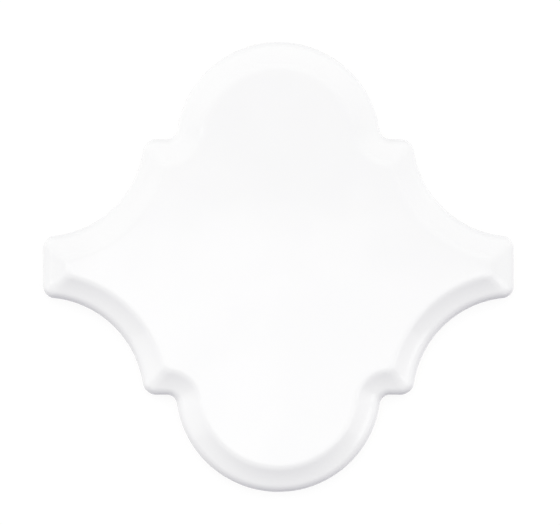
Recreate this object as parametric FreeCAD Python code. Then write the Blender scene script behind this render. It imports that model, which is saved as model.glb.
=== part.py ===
import FreeCAD, Part
import math
import os

# Moroccan arabesque wall tile, one piece of pressed and glazed ceramic, in millimetres.
# It lies on its back: x runs across the two ears, y across the two round lobes, z up to the glaze.

# Outline, seen on the glazed face
tile_height = 114.8            # across the two round lobes
shoulder_height = 65.2         # between the upper and the lower shoulder ledges
ear_height = 15.6              # flat end of an ear, to its sharp corners
lobe_radius = 26.1             # round lobes at top and bottom
hollow_radius = 25.7           # hollow sides that take the lobe of a neighbour
ledge_length = 2.7             # straight ledge between a neck and its shoulder
neck_radius = 2.6              # inner round where a lobe leaves the ledge
ear_corner_radius = 3.1
shoulder_corner_radius = 3.5

# Section through the moulded edge, from the flat face down to the upright side
thickness = 8.5
bevel_width = 7.4              # from the side of the tile to the flat face
crest_radius = 3.9             # round over the top of the slope
crest_slope = 32.0             # steepest part of the slope, degrees
lip_slope = 20.0               # slope where the lip begins, degrees
lip_radius = 2.8               # round lip down to the upright side

# Back
arris = 0.5                    # chamfer round the back edge
slot_width = 4.5               # keying slots for the adhesive
slot_pitch = 9.0
slot_depth = 0.6
slot_rim = 8.0                 # plain rim left between the slots and the side

UP = FreeCAD.Vector(0, 0, 1)


def point(x, y, z=0.0):
    """Return a point or a direction."""
    return FreeCAD.Vector(x, y, z)


def bearing(direction):
    """Return the angle of a direction in the plane, in degrees from 0 to 360."""
    return math.degrees(math.atan2(direction.y, direction.x)) % 360.0


def toward(centre, radius, target):
    """Return the point on a circle that faces a target."""
    return centre + (target - centre).normalize() * radius


def line(start, end):
    """Return a straight edge."""
    return Part.LineSegment(start, end).toShape()


def arc(start, end, centre):
    """Return the short arc from start to end about a centre."""
    radius = (start - centre).Length
    middle = toward(centre, radius, (start + end) * 0.5)
    return Part.Arc(start, middle, end).toShape()


def in_every_quarter(shape):
    """Return a shape of the upper right quarter with its three mirror images."""
    pair = [shape, shape.mirror(point(0, 0), point(1, 0))]
    return pair + [one.mirror(point(0, 0), point(0, 1)) for one in pair]


# Places on the outline, in the upper right quarter
ledge_level = shoulder_height / 2
lobe = point(0, tile_height / 2 - lobe_radius)
neck_level = ledge_level + neck_radius
neck = point(math.sqrt((lobe_radius + neck_radius) ** 2 - (neck_level - lobe.y) ** 2), neck_level)
shoulder = point(neck.x + ledge_length, ledge_level - shoulder_corner_radius)
hollow_level = ear_height / 2 + hollow_radius
hollow_reach = hollow_radius + shoulder_corner_radius
half_width = shoulder.x + math.sqrt(hollow_reach ** 2 - (hollow_level - shoulder.y) ** 2)
hollow = point(half_width, hollow_level)
ear_reach = math.sqrt((hollow_radius + ear_corner_radius) ** 2 - ear_corner_radius ** 2)
ear = point(half_width - ear_corner_radius, hollow_level - ear_reach)

ear_end = point(half_width, ear.y)
hollow_start = toward(hollow, hollow_radius, ear)
hollow_end = toward(hollow, hollow_radius, shoulder)
ledge_start = point(shoulder.x, ledge_level)
ledge_end = point(neck.x, ledge_level)
lobe_start = toward(lobe, lobe_radius, neck)

# Widths and drops of the three parts of the edge section
lip_angle = math.radians(lip_slope)
crest_angle = math.radians(crest_slope)
lip_width = lip_radius * (1 - math.sin(lip_angle))
crest_width = crest_radius * math.sin(crest_angle)
cove_width = bevel_width - lip_width - crest_width
cove_radius = cove_width / (math.sin(crest_angle) - math.sin(lip_angle))
lip_drop = lip_radius * math.cos(lip_angle)
cove_drop = cove_radius * (math.cos(lip_angle) - math.cos(crest_angle))
crest_drop = crest_radius * (1 - math.cos(crest_angle))
side_height = thickness - lip_drop - cove_drop - crest_drop
overrun = neck_radius / 2      # how far a cutter stands out past the side and the face


def blank():
    """Return the plain prism of the outline, chamfered round its back edge."""
    mirrored_ear = point(half_width, -ear.y)
    mirrored_lobe = point(-lobe_start.x, lobe_start.y)
    top = point(0, tile_height / 2)
    quarter = [
        arc(ear_end, hollow_start, ear),
        arc(hollow_start, hollow_end, hollow),
        arc(hollow_end, ledge_start, shoulder),
        line(ledge_start, ledge_end),
        arc(ledge_end, lobe_start, neck),
    ]
    ear_line = line(mirrored_ear, ear_end)
    lobe_arc = Part.Arc(lobe_start, top, mirrored_lobe).toShape()
    edges = [ear_line, ear_line.mirror(point(0, 0), point(1, 0))]
    edges += [lobe_arc, lobe_arc.mirror(point(0, 0), point(0, 1))]
    for edge in quarter:
        edges += in_every_quarter(edge)
    outline = Part.Wire(Part.__sortEdges__(edges))
    prism = Part.Face(outline).extrude(UP * thickness)
    back_edges = [edge for edge in prism.Edges if edge.BoundBox.ZMax < thickness / 2]
    return prism.makeChamfer(arris, back_edges)


def edge_section(widest):
    """Return what the edge section takes away: x is the inset from the side, z the height.

    The section is cut off at the widest inset, so that a corner can turn it about its own centre.
    """
    lip_centre = point(lip_radius, 0, side_height)
    crest_centre = point(bevel_width, 0, thickness - crest_radius)
    cove_centre = lip_centre + (point(-math.sin(lip_angle), 0, math.cos(lip_angle))
                                * (lip_radius + cove_radius))

    def on_crown(centre, radius, angle):
        return centre + point(-math.sin(angle), 0, math.cos(angle)) * radius

    def on_cove(angle):
        return cove_centre + point(math.sin(angle), 0, -math.cos(angle)) * cove_radius

    side_top = on_crown(lip_centre, lip_radius, math.pi / 2)
    lip_middle = on_crown(lip_centre, lip_radius, (lip_angle + math.pi / 2) / 2)
    lip_end = on_crown(lip_centre, lip_radius, lip_angle)
    crest_start = on_crown(crest_centre, crest_radius, crest_angle)
    crest_middle = on_crown(crest_centre, crest_radius, crest_angle / 2)
    crest_end = on_crown(crest_centre, crest_radius, 0)
    corners = [
        crest_end,
        point(bevel_width, 0, thickness + overrun),
        point(-overrun, 0, thickness + overrun),
        point(-overrun, 0, side_height),
        side_top,
    ]
    edges = [line(start, end) for start, end in zip(corners, corners[1:])]
    edges.append(Part.Arc(side_top, lip_middle, lip_end).toShape())
    edges.append(Part.Arc(lip_end, on_cove((lip_angle + crest_angle) / 2), crest_start).toShape())
    edges.append(Part.Arc(crest_start, crest_middle, crest_end).toShape())
    whole = Part.Face(Part.Wire(Part.__sortEdges__(edges)))
    if widest >= bevel_width:
        return whole
    window = Part.makeBox(widest + 2 * overrun, 2 * overrun, 2 * thickness,
                          point(-2 * overrun, -overrun))
    return whole.common(window).Faces[0]


def straight_cutter(start, end):
    """Return the edge section run along a straight edge, the tile on the left of the run."""
    run = end - start
    section = edge_section(bevel_width)
    section.rotate(point(0, 0), UP, bearing(UP.cross(run)))
    section.translate(start)
    return section.extrude(run)


def hollow_cutter(centre, radius, first, last):
    """Return the edge section turned about a centre outside the tile, between two bearings."""
    section = edge_section(bevel_width)
    section.translate(point(radius, 0))
    section.rotate(point(0, 0), UP, first)
    section.translate(centre)
    return section.revolve(centre, UP, last - first)


def round_cutter(centre, radius, first, last):
    """Return the edge section turned about a centre inside the tile, between two bearings."""
    section = edge_section(radius).mirror(point(0, 0), point(1, 0))
    section.translate(point(radius, 0))
    section.rotate(point(0, 0), UP, first)
    section.translate(centre)
    return section.revolve(centre, UP, (last - first) % 360.0)


def edge_cutters():
    """Return every cutter of the moulded edge.

    Each stretch of the outline has its own, square at both ends. Past the centre of a corner the
    cutters of its two sides overlap, so that the slopes meet there in a mitre.
    """
    ear_run = straight_cutter(point(half_width, -ear.y), ear_end)
    lobe_first = bearing(neck - lobe)
    lobe_run = round_cutter(lobe, lobe_radius, lobe_first, 180.0 - lobe_first)
    cutters = [ear_run, ear_run.mirror(point(0, 0), point(1, 0))]
    cutters += [lobe_run, lobe_run.mirror(point(0, 0), point(0, 1))]
    quarter = [
        round_cutter(ear, ear_corner_radius, 0.0, bearing(hollow - ear)),
        hollow_cutter(hollow, hollow_radius, bearing(shoulder - hollow), bearing(ear - hollow)),
        round_cutter(shoulder, shoulder_corner_radius, bearing(hollow - shoulder), 90.0),
        straight_cutter(ledge_start, ledge_end),
        hollow_cutter(neck, neck_radius, bearing(lobe - neck), 270.0),
    ]
    for cutter in quarter:
        cutters += in_every_quarter(cutter)
    return cutters


def slot_reach(level):
    """Return how far from the middle a slot may run when its outer side lies at a level."""
    limits = [half_width - slot_rim]
    beside_hollow = (hollow_radius + slot_rim) ** 2 - (level - hollow_level) ** 2
    if beside_hollow > 0:
        limits.append(half_width - math.sqrt(beside_hollow))
    if level > ledge_level - slot_rim:
        in_lobe = (lobe_radius - slot_rim) ** 2 - max(level - lobe.y, 0.0) ** 2
        limits.append(math.sqrt(max(in_lobe, 0.0)))
    return min(limits)


def key_slots():
    """Return the shallow round-ended slots of the back, in rows across the tile."""
    slots = []
    rows = int((tile_height / 2 - slot_rim - slot_width / 2) / slot_pitch)
    for row in range(-rows, rows + 1):
        middle = row * slot_pitch
        end_radius = slot_width / 2
        straight = slot_reach(abs(middle) + end_radius) - end_radius
        if straight < end_radius:
            continue
        slot = Part.makeBox(2 * straight, slot_width, slot_depth,
                            point(-straight, middle - end_radius))
        for side in (-straight, straight):
            slot = slot.fuse(Part.makeCylinder(end_radius, slot_depth, point(side, middle)))
        slots.append(slot.removeSplitter())
    return slots


tile = blank().cut(edge_cutters()).cut(key_slots()).removeSplitter()
tile = tile.Solids[0]

os.makedirs("parts", exist_ok=True)
tile.exportStep("parts/tile.step")
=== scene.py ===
"""Moroccan arabesque tile: one glazed wall tile lying on its back under soft studio light.

The tile is worked out with numpy. Level curves of the outline, each one inset a little more than the
last, carry the moulded edge from the back up to the flat face. Sizes are in millimetres, in the frame
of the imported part, and become metres when the mesh is written.
"""

import logging
import math
from dataclasses import dataclass, field, replace
from enum import Enum, IntEnum

import bpy
import numpy as np
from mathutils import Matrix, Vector, geometry


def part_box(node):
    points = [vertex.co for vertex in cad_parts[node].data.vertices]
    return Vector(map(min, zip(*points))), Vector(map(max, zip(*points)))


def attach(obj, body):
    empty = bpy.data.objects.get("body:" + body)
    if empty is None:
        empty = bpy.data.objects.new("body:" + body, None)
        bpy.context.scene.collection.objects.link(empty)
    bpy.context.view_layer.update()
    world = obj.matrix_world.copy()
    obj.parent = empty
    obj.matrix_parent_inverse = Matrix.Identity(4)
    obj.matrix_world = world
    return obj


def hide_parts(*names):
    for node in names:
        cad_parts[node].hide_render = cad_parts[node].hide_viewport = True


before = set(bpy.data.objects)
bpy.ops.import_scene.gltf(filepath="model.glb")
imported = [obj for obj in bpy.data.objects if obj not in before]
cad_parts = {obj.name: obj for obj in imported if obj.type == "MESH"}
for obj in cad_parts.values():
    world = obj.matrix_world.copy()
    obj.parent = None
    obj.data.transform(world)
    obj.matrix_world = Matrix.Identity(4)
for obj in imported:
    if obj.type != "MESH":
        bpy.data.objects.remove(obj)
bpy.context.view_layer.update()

LOG = logging.getLogger("arabesque_tile")
MM = 0.001
NODE = "tile"
BODY = "root"
FULL_TURN = 2 * math.pi
QUARTER_TURN = math.pi / 2

# The back is filled inside its outline only, with points told apart at this distance in millimetres
FILL_INSIDE = 1
FILL_TOLERANCE = 0.001

# An edge that turns by more than this stays sharp
SHARP_ANGLE = math.radians(32.0)

Colour = tuple[float, float, float, float]
Place = tuple[float, float, float]
Band = tuple[float, float]
WHITE: Colour = (1.0, 1.0, 1.0, 1.0)


class Skin(IntEnum):
    """The finish of a face of the tile, as the index of its material."""

    GLAZE = 0
    BISCUIT = 1


class Stretch(Enum):
    """The stretches of a quarter of the outline, each with its number of mesh columns."""

    EAR = 4
    EAR_CORNER = 12
    HOLLOW = 44
    SHOULDER = 14
    NECK = 22
    LOBE = 48

    def shares(self) -> np.ndarray:
        """Return the share of the stretch that lies before each of its columns."""
        return np.arange(self.value)[None, :] / self.value


def turned(angle: np.ndarray | float) -> np.ndarray:
    """Return the unit step in a direction, as a complex number.

    Args:
        angle: Direction in radians, counted from +x towards +y.

    Returns:
        The cosine of the angle plus i times its sine.
    """
    return np.exp(1j * np.asarray(angle))


def meeting(first: complex, first_reach: np.ndarray, second: complex,
            second_reach: np.ndarray) -> np.ndarray:
    """Return the lower crossing of two circles.

    The crossing lies along the line of the centres by (a a - b b + D D) / 2D, where a and b are the
    radii and D is the distance of the centres, and off it by the rest of a right triangle.

    Args:
        first: Centre of the first circle.
        first_reach: Its radii.
        second: Centre of the second circle, left of the first.
        second_reach: Its radii.

    Returns:
        The crossings, one for each pair of radii.
    """
    apart = abs(second - first)
    step = (second - first) / apart
    along = (first_reach ** 2 - second_reach ** 2 + apart ** 2) / (2 * apart)
    aside = np.sqrt(np.maximum(first_reach ** 2 - along ** 2, 0.0))
    return first + step * (along + 1j * aside)


@dataclass(frozen=True)
class Outline:
    """The arabesque outline and its inset copies, as points x + i y in millimetres.

    The ridge round is what the glaze leaves on a mitre, and the ridge depth the inset at which it closes.
    """

    half_width: float
    half_height: float
    shoulder_level: float = 32.6
    ear_half_height: float = 7.8
    lobe_radius: float = 26.1
    hollow_radius: float = 25.7
    neck_radius: float = 2.6
    ear_corner_radius: float = 3.1
    shoulder_corner_radius: float = 3.5
    ridge_round: float = 2.3
    ridge_depth: float = 8.8

    def corner_round(self, radius: float, depth: np.ndarray) -> np.ndarray:
        """Return the radius of a convex corner at several insets.

        It shrinks by the inset, but no further than to the round that the glaze leaves on a ridge,
        which itself closes towards the depth at which the two ridges of an ear meet.

        Args:
            radius: Radius of the corner on the side of the tile.
            depth: Insets.

        Returns:
            The radii.
        """
        return np.maximum(radius - depth, np.minimum(self.ridge_round, self.ridge_depth - depth))

    def quarter(self, inset: np.ndarray) -> np.ndarray:
        """Return the upper right quarter of the outline at several insets.

        A hollow or a neck grows by the inset and a lobe shrinks by it, about the same centre, and a
        straight side shifts by it. A corner is the arc that touches its two sides: its radius shrinks
        by the inset, but stays at the round that the glaze leaves on a ridge. Past the end of the
        ledge the shoulder's arc touches the hollow and the neck.

        Args:
            inset: Distances from the side of the tile, one for each row.

        Returns:
            Points from the middle of the ear to the top of the lobe, rows by columns.
        """
        depth = np.asarray(inset, float)[:, None]
        hollow = complex(self.half_width, self.ear_half_height + self.hollow_radius)
        lobe = complex(0.0, self.half_height - self.lobe_radius)
        neck_rise = self.shoulder_level + self.neck_radius - lobe.imag
        neck_side = math.sqrt((self.lobe_radius + self.neck_radius) ** 2 - neck_rise ** 2)
        neck = lobe + complex(neck_side, neck_rise)
        neck_bearing = math.atan2(neck_rise, neck_side)

        hollow_reach = self.hollow_radius + depth
        ear_round = self.corner_round(self.ear_corner_radius, depth)
        ear_side = depth + ear_round
        ear_drop = np.sqrt((hollow_reach + ear_round) ** 2 - ear_side ** 2)
        ear = hollow - ear_side - 1j * ear_drop
        ear_bearing = np.angle(hollow - ear)

        shoulder_round = self.corner_round(self.shoulder_corner_radius, depth)
        shoulder_reach = hollow_reach + shoulder_round
        drop = hollow.imag - (self.shoulder_level - depth - shoulder_round)
        on_ledge = hollow - np.sqrt(shoulder_reach ** 2 - drop ** 2) - 1j * drop
        on_neck = meeting(hollow, shoulder_reach, neck, self.neck_radius + depth + shoulder_round)
        shoulder = np.where(on_ledge.real > neck.real, on_ledge, on_neck)
        shoulder_first = np.angle(hollow - shoulder)
        shoulder_last = np.minimum(np.angle(neck - shoulder), QUARTER_TURN)

        ledge = np.maximum(shoulder.real - neck.real, 0.0)
        neck_reach = self.neck_radius + depth
        neck_arc = neck_reach * (shoulder_last - neck_bearing)
        run = Stretch.NECK.shares() * (ledge + neck_arc)
        neck_angle = shoulder_last - np.maximum(run - ledge, 0.0) / neck_reach
        ledge_left = np.maximum(ledge - run, 0.0)

        lobe_reach = self.lobe_radius - depth
        hollow_angle = ear_bearing + (shoulder_first - ear_bearing) * Stretch.HOLLOW.shares()
        shoulder_angle = shoulder_first + (shoulder_last - shoulder_first) * Stretch.SHOULDER.shares()
        lobe_angle = neck_bearing + (QUARTER_TURN - neck_bearing) * Stretch.LOBE.shares()
        return np.hstack([
            self.half_width - depth + 1j * ear.imag * Stretch.EAR.shares(),
            ear + ear_round * turned(ear_bearing * Stretch.EAR_CORNER.shares()),
            hollow - hollow_reach * turned(hollow_angle),
            shoulder + shoulder_round * turned(shoulder_angle),
            neck - neck_reach * turned(neck_angle) + ledge_left,
            lobe + lobe_reach * turned(lobe_angle),
            lobe + 1j * lobe_reach,
        ])

    def rings(self, inset: np.ndarray) -> np.ndarray:
        """Return whole closed outlines at several insets, made of four mirrored quarters.

        Args:
            inset: Distances from the side of the tile, one for each ring.

        Returns:
            Points in counter-clockwise order from the middle of the right ear, rings by columns.
        """
        quarter = self.quarter(inset)
        first = quarter[:, :-1]
        second = -np.conj(quarter[:, :0:-1])
        return np.hstack([first, second, -first, -second])


@dataclass(frozen=True)
class EdgeSection:
    """The edge in section: an upright side, a round lip, a shallow cove and a round crest.

    All of them are tangent. Widths and heights are in millimetres and slopes in radians.
    """

    thickness: float
    arris: float = 0.5
    bevel_width: float = 7.4
    crest_radius: float = 3.9
    crest_slope: float = math.radians(32.0)
    lip_slope: float = math.radians(20.0)
    lip_radius: float = 2.8
    lip_rows: int = 14
    cove_rows: int = 10
    crest_rows: int = 16

    @property
    def side_height(self) -> float:
        """Return where the side ends and the lip begins.

        It is what the drops of lip, cove and crest leave of the thickness. The chord of the cove has
        the mean of the slopes at its ends.

        Returns:
            The height above the back.
        """
        lip_drop = self.lip_radius * math.cos(self.lip_slope)
        crest_drop = self.crest_radius * (1 - math.cos(self.crest_slope))
        cove_drop = self.cove_width * math.tan((self.lip_slope + self.crest_slope) / 2)
        return self.thickness - lip_drop - cove_drop - crest_drop

    @property
    def cove_width(self) -> float:
        """Return the width of the cove, which is what the lip and the crest leave of the bevel."""
        lip_width = self.lip_radius * (1 - math.sin(self.lip_slope))
        return self.bevel_width - lip_width - self.crest_radius * math.sin(self.crest_slope)

    def rows(self) -> tuple[np.ndarray, np.ndarray]:
        """Return the section as rows from the top of the side to the flat face.

        Each part is an arc, sampled by its slope: a convex arc of radius r passes its centre by
        -r sin(slope) in inset and r cos(slope) in height, and the cove by the opposite.

        Returns:
            The insets and the heights of the rows.
        """
        lip = np.linspace(QUARTER_TURN, self.lip_slope, self.lip_rows, endpoint=False)
        cove = np.linspace(self.lip_slope, self.crest_slope, self.cove_rows, endpoint=False)
        crest = np.linspace(self.crest_slope, 0.0, self.crest_rows)
        cove_radius = self.cove_width / (math.sin(self.crest_slope) - math.sin(self.lip_slope))
        lip_centre = complex(self.lip_radius, self.side_height)
        crest_centre = complex(self.bevel_width, self.thickness - self.crest_radius)
        cove_centre = lip_centre + (self.lip_radius + cove_radius) * 1j * turned(self.lip_slope)
        places = np.concatenate([
            lip_centre + self.lip_radius * 1j * turned(lip),
            cove_centre - cove_radius * 1j * turned(cove),
            crest_centre + self.crest_radius * 1j * turned(crest),
        ])
        return places.real, places.imag


@dataclass(frozen=True)
class Ripple:
    """A faint unevenness, as a mean of a few plane waves with set directions and phases.

    The height and the lengths are in millimetres, the bearings and the phases in radians.
    """

    height: float
    lengths: tuple[float, ...]
    bearings: tuple[float, ...]
    phases: tuple[float, ...]

    def at(self, places: np.ndarray) -> np.ndarray:
        """Return the unevenness at places of the plane.

        Args:
            places: Points x + i y in millimetres.

        Returns:
            The mean of the waves, times the height.
        """
        waves = [
            np.cos(FULL_TURN * (places * turned(-bearing)).real / length + phase)
            for length, bearing, phase in zip(self.lengths, self.bearings, self.phases)
        ]
        return self.height * np.mean(waves, axis=0)


@dataclass
class MeshParts:
    """Points and faces gathered for one mesh, with the finish of each face."""

    points: list[np.ndarray] = field(default_factory=list)
    faces: list[list[int]] = field(default_factory=list)
    skins: list[int] = field(default_factory=list)
    count: int = 0

    def add_points(self, places: np.ndarray, heights: np.ndarray) -> np.ndarray:
        """Add points.

        Args:
            places: Points x + i y in millimetres.
            heights: Their heights in millimetres, of the same shape or one that fits it.

        Returns:
            The numbers of the new points, in the shape of the places.
        """
        heights = np.broadcast_to(heights, places.shape)
        self.points.append(np.stack([places.real, places.imag, heights], -1).reshape(-1, 3))
        numbers = self.count + np.arange(places.size).reshape(places.shape)
        self.count += places.size
        return numbers

    def add_faces(self, corners: np.ndarray, skin: Skin) -> None:
        """Add faces.

        Args:
            corners: Point numbers, one row for each face.
            skin: The finish of the faces.
        """
        self.faces.extend(corners.tolist())
        self.skins.extend([int(skin)] * len(corners))

    def add_strips(self, rings: np.ndarray, skin: Skin) -> None:
        """Add the quads between closed rings that follow each other.

        Args:
            rings: Point numbers, rings by columns.
            skin: The finish of the faces.
        """
        after = np.roll(rings, -1, axis=1)
        quads = np.stack([rings[:-1], after[:-1], after[1:], rings[1:]], -1)
        self.add_faces(quads.reshape(-1, 4), skin)

    def add_halving(self, outer: np.ndarray, inner: np.ndarray, skin: Skin) -> None:
        """Add the triangles between a closed ring and one inside it with half as many points.

        Args:
            outer: Point numbers of the outer ring.
            inner: Point numbers of the inner ring.
            skin: The finish of the faces.
        """
        even, odd = outer[0::2], outer[1::2]
        even_next, inner_next = np.roll(even, -1), np.roll(inner, -1)
        self.add_faces(np.stack([even, odd, inner], -1), skin)
        self.add_faces(np.stack([odd, even_next, inner_next], -1), skin)
        self.add_faces(np.stack([odd, inner_next, inner], -1), skin)

    def add_filling(self, loops: list[np.ndarray], skin: Skin) -> None:
        """Add triangles, facing down, that fill a level outline with round-cornered holes in it.

        The outline is filled as a whole; a triangle with all its corners on one hole is left out.

        Args:
            loops: Point numbers of the outline and then of each hole, which bulges outwards all round.
            skin: The finish of the faces.
        """
        numbers = np.concatenate(loops)
        sizes = np.array([len(loop) for loop in loops])
        owner = np.repeat(np.arange(len(loops)), sizes)
        after = np.arange(1, len(numbers) + 1)
        after[np.cumsum(sizes) - 1] -= sizes
        sides = np.stack([np.arange(len(numbers)), after], -1).tolist()
        places = [Vector(place) for place in np.concatenate(self.points)[numbers, :2].tolist()]
        filled = geometry.delaunay_2d_cdt(places, sides, [], FILL_INSIDE, FILL_TOLERANCE)
        _, _, triangles, sources, _, _ = filled
        corners = np.array([source[0] for source in sources])[np.array(triangles)[:, ::-1]]
        owners = owner[corners]
        in_hole = (owners.min(axis=1) > 0) & (owners.min(axis=1) == owners.max(axis=1))
        self.add_faces(numbers[corners[~in_hole]], skin)

    def mesh(self, name: str) -> bpy.types.Mesh:
        """Write the gathered points and faces to a mesh in metres.

        Args:
            name: Name of the mesh.

        Returns:
            The mesh, smooth but for its true edges.
        """
        mesh = bpy.data.meshes.new(name)
        mesh.from_pydata((np.concatenate(self.points) * MM).tolist(), [], self.faces)
        mesh.polygons.foreach_set("material_index", np.array(self.skins, np.int32))
        mesh.polygons.foreach_set("use_smooth", np.ones(len(self.faces), bool))
        mesh.set_sharp_from_angle(angle=SHARP_ANGLE)
        mesh.validate()
        mesh.update()
        return mesh


class Nodes:
    """A material's or world's nodes, added one by one with their inputs."""

    def __init__(self, owner: bpy.types.Material | bpy.types.World) -> None:
        """Start with an empty tree.

        Args:
            owner: The material or world that the nodes belong to.
        """
        owner.use_nodes = True
        self.tree = owner.node_tree
        self.tree.nodes.clear()

    def add(self, kind: str, settings: dict[str, object] | None = None,
            **inputs: object) -> bpy.types.Node:
        """Add a node.

        Args:
            kind: Blender's name of the node's type.
            settings: Values of the node's own properties.
            inputs: A constant or an output socket for each input, named as input() reads it.

        Returns:
            The new node.
        """
        node = self.tree.nodes.new(kind)
        for name, value in (settings or {}).items():
            setattr(node, name, value)
        for name, value in inputs.items():
            socket = self.input(node, name)
            if isinstance(value, bpy.types.NodeSocket):
                self.tree.links.new(value, socket)
            else:
                socket.default_value = value
        return node

    @staticmethod
    def input(node: bpy.types.Node, name: str) -> bpy.types.NodeSocket:
        """Find an input of a node.

        Args:
            node: The node.
            name: The input's name with spaces as underscores, or n and its number in the node.

        Returns:
            The input's socket.
        """
        if name.startswith("n") and name[1:].isdigit():
            return node.inputs[int(name[1:])]
        return node.inputs[name.replace("_", " ")]

    def math(self, operation: str, *values: object) -> bpy.types.NodeSocket:
        """Add a step of arithmetic.

        Args:
            operation: Blender's name of the operation.
            values: Numbers or sockets to work on.

        Returns:
            The result's socket.
        """
        inputs = {f"n{place}": value for place, value in enumerate(values)}
        return self.add("ShaderNodeMath", {"operation": operation}, **inputs).outputs[0]

    def ramp(self, value: bpy.types.NodeSocket, band: Band,
             result: Band = (0.0, 1.0)) -> bpy.types.NodeSocket:
        """Add a smooth step.

        Args:
            value: The socket to map.
            band: Values at which the step begins and ends.
            result: Results before the step and after it.

        Returns:
            The stepped value's socket.
        """
        node = self.add("ShaderNodeMapRange", {"interpolation_type": "SMOOTHSTEP"}, Value=value,
                        From_Min=band[0], From_Max=band[1], To_Min=result[0], To_Max=result[1])
        return node.outputs["Result"]

    def mixed(self, share: bpy.types.NodeSocket, first: object, second: object) -> bpy.types.NodeSocket:
        """Add a mix of two colours, which are inputs 6 and 7 and output 2 of the node.

        Args:
            share: Socket of the second colour's share.
            first: Colour or socket.
            second: Colour or socket.

        Returns:
            The mixed colour's socket.
        """
        node = self.add("ShaderNodeMix", {"data_type": "RGBA"}, n0=share, n6=first, n7=second)
        return node.outputs[2]

    def noise(self, place: bpy.types.NodeSocket, size: float, detail: float) -> bpy.types.NodeSocket:
        """Add a noise.

        Args:
            place: Socket of the coordinates, in metres.
            size: Size of its patches, in millimetres.
            detail: How many finer layers are added.

        Returns:
            The noise value's socket.
        """
        node = self.add("ShaderNodeTexNoise", Vector=place, Scale=1.0 / (size * MM), Detail=detail)
        return node.outputs["Fac"]


@dataclass(frozen=True)
class WhiteGlaze:
    """Glossy white glaze: faint clouds in its colour and gloss, and a very fine orange peel.

    It runs thin down the side, where the clay shows through. Sizes and heights are in millimetres.
    """

    colour: Colour = (0.9, 0.9, 0.9, 1.0)
    cloud_colour: Colour = (0.886, 0.886, 0.888, 1.0)
    cloud_size: float = 28.0
    cloud_detail: float = 2.0
    cloud_band: Band = (0.35, 0.65)
    thin_colour: Colour = (0.77, 0.75, 0.7, 1.0)
    thin_below: float = 0.8
    thick_above: float = 4.2
    gloss_size: float = 9.0
    gloss_detail: float = 2.0
    gloss_band: Band = (0.3, 0.7)
    roughness: Band = (0.08, 0.11)
    refraction: float = 1.5
    peel_size: float = 2.6
    peel_detail: float = 1.0
    peel_depth: float = 0.0012

    def material(self) -> bpy.types.Material:
        """Make the finish on Object coordinates.

        Returns:
            The material.
        """
        material = bpy.data.materials.new("white_glaze")
        nodes = Nodes(material)
        place = nodes.add("ShaderNodeTexCoord").outputs["Object"]
        height = nodes.add("ShaderNodeSeparateXYZ", Vector=place).outputs["Z"]
        thickness = nodes.ramp(height, (self.thin_below * MM, self.thick_above * MM))
        cloud = nodes.noise(place, self.cloud_size, self.cloud_detail)
        thick_colour = nodes.mixed(nodes.ramp(cloud, self.cloud_band), self.colour, self.cloud_colour)
        gloss = nodes.noise(place, self.gloss_size, self.gloss_detail)
        peel = nodes.noise(place, self.peel_size, self.peel_detail)
        bump = nodes.add("ShaderNodeBump", Distance=self.peel_depth * MM, Height=peel)
        shader = nodes.add("ShaderNodeBsdfPrincipled", IOR=self.refraction,
                           Roughness=nodes.ramp(gloss, self.gloss_band, self.roughness),
                           Base_Color=nodes.mixed(thickness, self.thin_colour, thick_colour),
                           Normal=bump.outputs["Normal"])
        nodes.add("ShaderNodeOutputMaterial", Surface=shader.outputs["BSDF"])
        return material


@dataclass(frozen=True)
class BareBiscuit:
    """Fired clay without glaze: matt, off-white, with a fine grain and small dark grains of grog.

    Sizes are in millimetres.
    """

    colour: Colour = (0.74, 0.7, 0.63, 1.0)
    shade: Colour = (0.66, 0.62, 0.55, 1.0)
    patch_size: float = 14.0
    patch_detail: float = 4.0
    patch_band: Band = (0.3, 0.7)
    grain_size: float = 0.35
    grain_detail: float = 3.0
    grain_depth: float = 0.04
    grain_strength: float = 0.6
    grog_colour: Colour = (0.5, 0.45, 0.38, 1.0)
    grog_size: float = 0.8
    grog_detail: float = 2.0
    grog_band: Band = (0.66, 0.74)
    roughness: float = 0.9

    def material(self) -> bpy.types.Material:
        """Make the finish on Object coordinates.

        Returns:
            The material.
        """
        material = bpy.data.materials.new("bare_biscuit")
        nodes = Nodes(material)
        place = nodes.add("ShaderNodeTexCoord").outputs["Object"]
        patch = nodes.noise(place, self.patch_size, self.patch_detail)
        grain = nodes.noise(place, self.grain_size, self.grain_detail)
        bump = nodes.add("ShaderNodeBump", Strength=self.grain_strength,
                         Distance=self.grain_depth * MM, Height=grain)
        grog = nodes.noise(place, self.grog_size, self.grog_detail)
        clay = nodes.mixed(nodes.ramp(patch, self.patch_band), self.colour, self.shade)
        speckled = nodes.mixed(nodes.ramp(grog, self.grog_band), clay, self.grog_colour)
        shader = nodes.add("ShaderNodeBsdfPrincipled", Roughness=self.roughness,
                           Base_Color=speckled, Normal=bump.outputs["Normal"])
        nodes.add("ShaderNodeOutputMaterial", Surface=shader.outputs["BSDF"])
        return material


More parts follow.
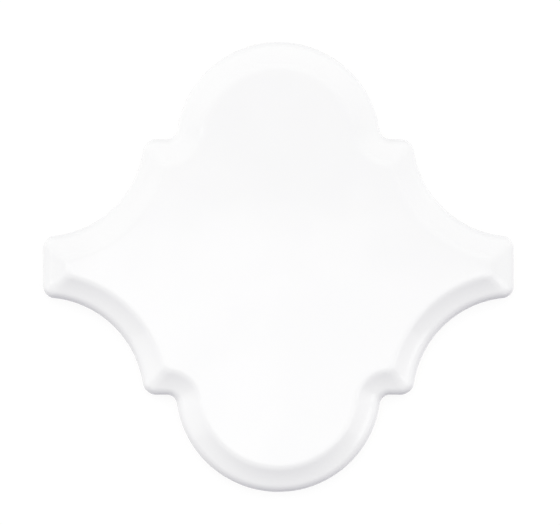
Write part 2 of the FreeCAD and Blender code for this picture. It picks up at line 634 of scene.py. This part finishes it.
@dataclass(frozen=True)
class ArabesqueTile:
    """The whole tile: glazed face, moulded edge, upright side and keyed back.

    Sizes are in millimetres. The rows of the glaze's roll are given in coats above the glaze line, and
    its swell as the share of the coat that its lowest rows still stand in.
    """

    outline: Outline
    section: EdgeSection
    glaze_coat: float = 0.12
    glaze_line: float = 1.3
    roll_rows: tuple[float, ...] = (0.5, 1.2, 2.2)
    roll_swell: tuple[float, ...] = (0.45, 0.1)
    side_rows: int = 6
    face_rows: int = 32
    face_halvings: tuple[int, ...] = (6, 14, 20, 25, 28)
    slot_width: float = 4.5
    slot_pitch: float = 9.0
    slot_depth: float = 0.6
    slot_rim: float = 8.0
    slot_lip: float = 0.15
    slot_foot: float = 0.3
    slot_strip: float = 0.1
    slot_wall_steps: int = 4
    slot_end_points: int = 13
    face_ripple: Ripple = Ripple(0.012, (31.0, 23.0, 39.0), (0.4, 1.7, 2.6), (0.3, 1.9, 4.1))
    line_ripple: Ripple = Ripple(0.5, (17.0, 11.0, 7.3), (0.2, 1.3, 2.3), (0.9, 2.2, 5.0))

    @classmethod
    def in_box(cls, low: Vector, high: Vector) -> "ArabesqueTile":
        """Return the tile that fills a box.

        Args:
            low: Lowest corner of the node that it stands for, in metres.
            high: Highest corner.

        Returns:
            The tile, with the width, height and thickness of the box.
        """
        outline = Outline(half_width=(high.x - low.x) / 2 / MM, half_height=(high.y - low.y) / 2 / MM)
        return cls(outline, EdgeSection(thickness=(high.z - low.z) / MM))

    def add_side(self, parts: MeshParts) -> tuple[np.ndarray, np.ndarray]:
        """Add the side and the moulded edge, from the back to the rim of the flat face.

        The rows below the glaze line are bare and stand in by the thickness of the glaze; the line
        itself wanders by a ripple.

        Args:
            parts: The mesh to add to.

        Returns:
            The point numbers of the lowest ring and of the highest.
        """
        inset, height = self.section.rows()
        coat, arris, top = self.glaze_coat, self.section.arris, self.section.side_height
        glazed, bare, back = self.outline.rings(np.array([0.0, coat, arris]))
        line = self.glaze_line + self.line_ripple.at(glazed)
        bare_places = np.vstack([back, bare, bare, bare])
        bare_height = np.vstack([0 * line, 0 * line + arris - coat, line - coat, line])
        roll = line + coat * np.array(self.roll_rows)[:, None]
        climb = np.linspace(0.0, 1.0, self.side_rows)[1:-1, None]
        side_height = np.vstack([roll, roll[-1:] + (top - roll[-1:]) * climb])
        swell = np.zeros((len(side_height), 1))
        swell[:len(self.roll_swell), 0] = self.roll_swell
        side_places = glazed + (bare - glazed) * swell
        edge_places = self.outline.rings(inset)
        edge_height = height[:, None] + self.ripple_at(edge_places)
        foot = parts.add_points(bare_places, bare_height)
        side = parts.add_points(side_places, side_height)
        edge = parts.add_points(edge_places, edge_height)
        parts.add_strips(foot, Skin.BISCUIT)
        parts.add_strips(np.vstack([foot[-1:], side, edge]), Skin.GLAZE)
        return foot[0], edge[-1]

    def ripple_at(self, places: np.ndarray) -> np.ndarray:
        """Return how far the ripple sinks the glaze below its nominal height, never above it.

        Args:
            places: Points x + i y in millimetres.

        Returns:
            Heights from minus twice the ripple's height to nought.
        """
        return self.face_ripple.at(places) - self.face_ripple.height

    def add_face(self, parts: MeshParts, rim: np.ndarray) -> None:
        """Add the flat face as rings that shrink towards the middle, with fewer columns inside.

        Each ring is the rim times a share; every few rings the columns are halved.

        Args:
            parts: The mesh to add to.
            rim: Point numbers of the rim of the face.
        """
        rim_places = self.outline.rings(np.array([self.section.bevel_width]))[0]
        top = self.section.thickness
        shares = np.linspace(1.0, 0.0, self.face_rows + 1)[1:-1]
        last, columns = rim, rim_places
        for number, share in enumerate(shares):
            if number in self.face_halvings:
                columns = columns[::2]
            places = columns * share
            ring = parts.add_points(places, top + self.ripple_at(places))
            if len(ring) < len(last):
                parts.add_halving(last, ring, Skin.GLAZE)
            else:
                parts.add_strips(np.vstack([last, ring]), Skin.GLAZE)
            last = ring
        middle = np.zeros(1, complex)
        centre = parts.add_points(middle, top + self.ripple_at(middle))
        fan = np.stack([last, np.roll(last, -1), np.broadcast_to(centre, last.shape)], -1)
        parts.add_faces(fan, Skin.GLAZE)

    def slot_reach(self, level: float) -> float:
        """Return how far from the middle a slot may run.

        Args:
            level: Distance of the slot's outer side from the middle, in millimetres.

        Returns:
            The least of what the ear, the hollow and the lobe leave inside the plain rim.
        """
        shape = self.outline
        limits = [shape.half_width - self.slot_rim]
        beside = (shape.hollow_radius + self.slot_rim) ** 2
        beside -= (level - shape.ear_half_height - shape.hollow_radius) ** 2
        if beside > 0:
            limits.append(shape.half_width - math.sqrt(beside))
        if level > shape.shoulder_level - self.slot_rim:
            above = max(level - shape.half_height + shape.lobe_radius, 0.0)
            limits.append(math.sqrt(max((shape.lobe_radius - self.slot_rim) ** 2 - above ** 2, 0.0)))
        return min(limits)

    def slot_wall(self) -> tuple[np.ndarray, np.ndarray]:
        """Return the section of a slot's wall, from the back to the floor of the slot.

        A quarter round leads from the back into the wall, and another one from the wall to the floor.
        A narrow level strip before the first and after the last keeps the planes beside them even.

        Returns:
            How far each step of the wall lies outside the side of the slot, and its depth.
        """
        turn = np.linspace(0.0, QUARTER_TURN, self.slot_wall_steps)
        lip, foot = self.slot_lip, self.slot_foot
        outside = np.concatenate([lip * (1 - np.sin(turn)), foot * (np.cos(turn) - 1)])
        depth = np.concatenate([lip * (1 - np.cos(turn)), self.slot_depth - foot * (1 - np.sin(turn))])
        outside = np.pad(outside, 1, constant_values=(lip + self.slot_strip, -foot - self.slot_strip))
        return outside, np.pad(depth, 1, mode="edge")

    def slots(self) -> list[np.ndarray]:
        """Work out the keying slots, in rows across the tile.

        A slot is two half circles joined by straight sides, once for each step of its wall.

        Returns:
            The points x + i y of each slot, steps by columns.
        """
        end = self.slot_width / 2
        rows = int((self.outline.half_height - self.slot_rim - end) / self.slot_pitch)
        swing = turned(np.linspace(-QUARTER_TURN, QUARTER_TURN, self.slot_end_points))
        swing = swing * (end + self.slot_wall()[0])[:, None]
        found = []
        for row in range(-rows, rows + 1):
            middle = row * self.slot_pitch
            straight = self.slot_reach(abs(middle) + end) - end
            if straight >= end:
                found.append(np.hstack([straight + swing, -straight - swing]) + 1j * middle)
        return found

    def add_back(self, parts: MeshParts, rim: np.ndarray) -> None:
        """Add the flat back with its slots: the back is filled between its rim and the slots.

        Args:
            parts: The mesh to add to.
            rim: Point numbers of the rim of the back.
        """
        depth = self.slot_wall()[1][:, None]
        loops = [rim]
        for slot in self.slots():
            wall = parts.add_points(slot, depth)
            parts.add_strips(wall[::-1], Skin.BISCUIT)
            parts.add_faces(wall[-1:, ::-1], Skin.BISCUIT)
            loops.append(wall[0])
        parts.add_filling(loops, Skin.BISCUIT)

    def build(self) -> bpy.types.Object:
        """Build and dress the tile.

        Returns:
            The object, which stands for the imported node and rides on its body.
        """
        parts = MeshParts()
        back_rim, face_rim = self.add_side(parts)
        self.add_face(parts, face_rim)
        self.add_back(parts, back_rim)
        piece = bpy.data.objects.new("arabesque_tile", parts.mesh("arabesque_tile"))
        bpy.context.scene.collection.objects.link(piece)
        for material in (WhiteGlaze().material(), BareBiscuit().material()):
            piece.data.materials.append(material)
        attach(piece, BODY)
        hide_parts(NODE)
        return piece


@dataclass(frozen=True)
class GlossCard:
    """A white card that shows only in the gloss of the glaze.

    Sizes are in metres. A card with no tilt faces down, and one tilted by a quarter turn stands upright
    and faces the back; the turn is about the upright axis.
    """

    name: str
    middle: Place
    width: float
    height: float
    tilt: float
    turn: float
    brightness: float

    def mirrored(self, name: str) -> "GlossCard":
        """Return the like card on the other side of the tile, under a name of its own."""
        aside, ahead, up = self.middle
        return replace(self, name=name, middle=(-aside, ahead, up), turn=-self.turn)

    def build(self) -> bpy.types.Object:
        """Build the card as a lamp.

        The power of the lamp is pi times its area times its brightness.

        Returns:
            The lamp.
        """
        light = bpy.data.lights.new(self.name, "AREA")
        light.shape = "RECTANGLE"
        light.size = self.width
        light.size_y = self.height
        light.energy = math.pi * self.width * self.height * self.brightness
        lamp = bpy.data.objects.new(self.name, light)
        lamp.location = self.middle
        lamp.rotation_euler = (self.tilt, 0.0, self.turn)
        lamp.visible_camera = False
        lamp.visible_diffuse = False
        bpy.context.scene.collection.objects.link(lamp)
        return lamp


@dataclass(frozen=True)
class Studio:
    """A white floor under an arch of soft light, with white cards overhead and beside the tile.

    The drop of the floor below the tile is in millimetres, and the other sizes are in metres. The
    ceiling card has one edge above the tile, and the side card has a like one on the left.
    """

    floor_size: float = 6.0
    floor_drop: float = 0.02
    floor_colour: Colour = (0.85, 0.85, 0.85, 1.0)
    floor_glow: float = 0.84
    floor_shade: Colour = (0.18, 0.18, 0.18, 1.0)
    arch_colour: Colour = (0.99, 1.0, 0.93, 1.0)
    fill_colour: Colour = (0.012, 0.0, 0.077, 1.0)
    arch_light: float = 1.27
    arch_fade: float = 1.3
    over_light: float = 0.2
    back_light: float = 0.38
    ground_light: float = 0.79
    left_light: float = 0.03
    ceiling_card: GlossCard = GlossCard("ceiling_card", middle=(0.0, -0.293, 1.5), width=3.0, height=0.6,
                                        tilt=0.0, turn=math.radians(-14.0), brightness=1.05)
    side_card: GlossCard = GlossCard("right_card", middle=(1.05, -0.36, 0.675), width=0.55, height=1.35,
                                     tilt=QUARTER_TURN, turn=math.radians(71.0), brightness=0.7)

    @staticmethod
    def seen_directly(nodes: Nodes) -> bpy.types.NodeSocket:
        """Add what tells a look at the stage from its light.

        Args:
            nodes: The nodes to add to.

        Returns:
            A socket that is 1 for what the camera sees, directly, in gloss or through glass, else 0.
        """
        path = nodes.add("ShaderNodeLightPath").outputs
        mirrored = nodes.math("MAXIMUM", path["Is Camera Ray"], path["Is Glossy Ray"])
        return nodes.math("MAXIMUM", mirrored, path["Is Transmission Ray"])

    def floor_material(self) -> bpy.types.Material:
        """Make the floor's finish: pale, and white with a faint shadow where it is seen.

        Returns:
            The material.
        """
        material = bpy.data.materials.new("white_floor")
        nodes = Nodes(material)
        plain = nodes.add("ShaderNodeBsdfDiffuse", Color=self.floor_colour)
        shade = nodes.add("ShaderNodeBsdfDiffuse", Color=self.floor_shade)
        glow = nodes.add("ShaderNodeEmission", Strength=self.floor_glow)
        white = nodes.add("ShaderNodeAddShader", n0=shade.outputs[0], n1=glow.outputs[0])
        shown = nodes.add("ShaderNodeMixShader", n0=self.seen_directly(nodes),
                          n1=plain.outputs[0], n2=white.outputs[0])
        nodes.add("ShaderNodeOutputMaterial", Surface=shown.outputs[0])
        return material

    def build_floor(self) -> bpy.types.Object:
        """Build the floor, a square just under the tile.

        Returns:
            The floor.
        """
        half = self.floor_size / 2
        low = -self.floor_drop * MM
        corners = [(-half, -half, low), (half, -half, low), (half, half, low), (-half, half, low)]
        mesh = bpy.data.meshes.new("floor")
        mesh.from_pydata(corners, [], [(0, 1, 2, 3)])
        mesh.materials.append(self.floor_material())
        floor = bpy.data.objects.new("floor", mesh)
        floor.visible_diffuse = False
        floor.visible_shadow = False
        bpy.context.scene.collection.objects.link(floor)
        return floor

    def build_arch(self) -> None:
        """Make the world an arch of soft light that runs over the tile from side to side.

        The arch fades with the square of the way towards the front or the back, and gains with the
        square of the way up. The back and the left get a little more than the front and the right, and
        so does the ground behind the tile. A faint cool light from all round fills its shade, so that
        the sum is white on the flat face.
        """
        world = bpy.data.worlds.new("light_arch")
        nodes = Nodes(world)
        way = nodes.add("ShaderNodeTexCoord").outputs["Generated"]
        across, ahead, up = nodes.add("ShaderNodeSeparateXYZ", Vector=way).outputs
        square = nodes.math("MULTIPLY", ahead, ahead)
        below = nodes.math("MINIMUM", up, 0.0)
        ground = nodes.math("MULTIPLY", ahead, below)
        above = nodes.math("MAXIMUM", up, 0.0)
        over = nodes.math("MULTIPLY", above, above)
        light = nodes.math("MULTIPLY_ADD", square, -self.arch_fade, self.arch_light)
        light = nodes.math("MULTIPLY_ADD", ahead, self.back_light, light)
        light = nodes.math("MULTIPLY_ADD", ground, -self.ground_light, light)
        light = nodes.math("MULTIPLY_ADD", over, self.over_light, light)
        light = nodes.math("MULTIPLY_ADD", across, -self.left_light, light)
        light = nodes.math("MAXIMUM", light, 0.0)
        arch = nodes.add("ShaderNodeBackground", Color=self.arch_colour, Strength=light)
        fill = nodes.add("ShaderNodeBackground", Color=self.fill_colour)
        lit = nodes.add("ShaderNodeAddShader", n0=arch.outputs[0], n1=fill.outputs[0])
        white = nodes.add("ShaderNodeBackground", Color=WHITE)
        shown = nodes.add("ShaderNodeMixShader", n0=self.seen_directly(nodes),
                          n1=lit.outputs[0], n2=white.outputs[0])
        nodes.add("ShaderNodeOutputWorld", Surface=shown.outputs[0])
        bpy.context.scene.world = world

    def build(self) -> list[bpy.types.Object]:
        """Build the floor, the arch of light and the cards.

        Returns:
            The floor and the cards.
        """
        floor = self.build_floor()
        self.build_arch()
        cards = (self.ceiling_card, self.side_card, self.side_card.mirrored("left_card"))
        return [floor] + [card.build() for card in cards]


@dataclass(frozen=True)
class OverheadCamera:
    """A camera straight above the tile, framed as the photograph is.

    The image and the tile in it are in pixels, the lens and the sensor in millimetres.
    """

    image_width: float = 560.0
    image_height: float = 525.0
    tile_middle_x: float = 278.4
    tile_middle_y: float = 266.9
    tile_width: float = 470.5
    lens: float = 600.0
    sensor: float = 36.0

    def build(self, tile_width: float, level: float) -> bpy.types.Object:
        """Build the camera and make it the scene's own.

        Its distance makes the tile as many pixels wide as in the photograph, and it stands aside of
        the tile's middle by the pixels between that and the middle of the image.

        Args:
            tile_width: Width of the tile in metres.
            level: Height of the edge that is seen as the tile's outline, in metres.

        Returns:
            The camera.
        """
        pixel = tile_width / self.tile_width
        data = bpy.data.cameras.new("overhead_camera")
        data.lens = self.lens
        data.sensor_width = self.sensor
        camera = bpy.data.objects.new("overhead_camera", data)
        aside = (self.image_width / 2 - self.tile_middle_x) * pixel
        ahead = (self.tile_middle_y - self.image_height / 2) * pixel
        away = self.image_width * pixel * self.lens / self.sensor
        camera.location = (aside, ahead, away + level)
        bpy.context.scene.collection.objects.link(camera)
        bpy.context.scene.camera = camera
        return camera


def main() -> None:
    """Build the tile, the studio and the camera, and report each piece."""
    logging.basicConfig(level=logging.INFO, format="%(message)s")
    low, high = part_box(NODE)
    tile = ArabesqueTile.in_box(low, high)
    piece = tile.build()
    LOG.info("%s: %d faces", piece.name, len(piece.data.polygons))
    for stage in Studio().build():
        LOG.info("%s: stage", stage.name)
    camera = OverheadCamera().build(high.x - low.x, tile.section.side_height * MM)
    LOG.info("%s: camera", camera.name)
    bpy.context.scene.view_settings.view_transform = "Standard"


if __name__ == "__main__":
    main()
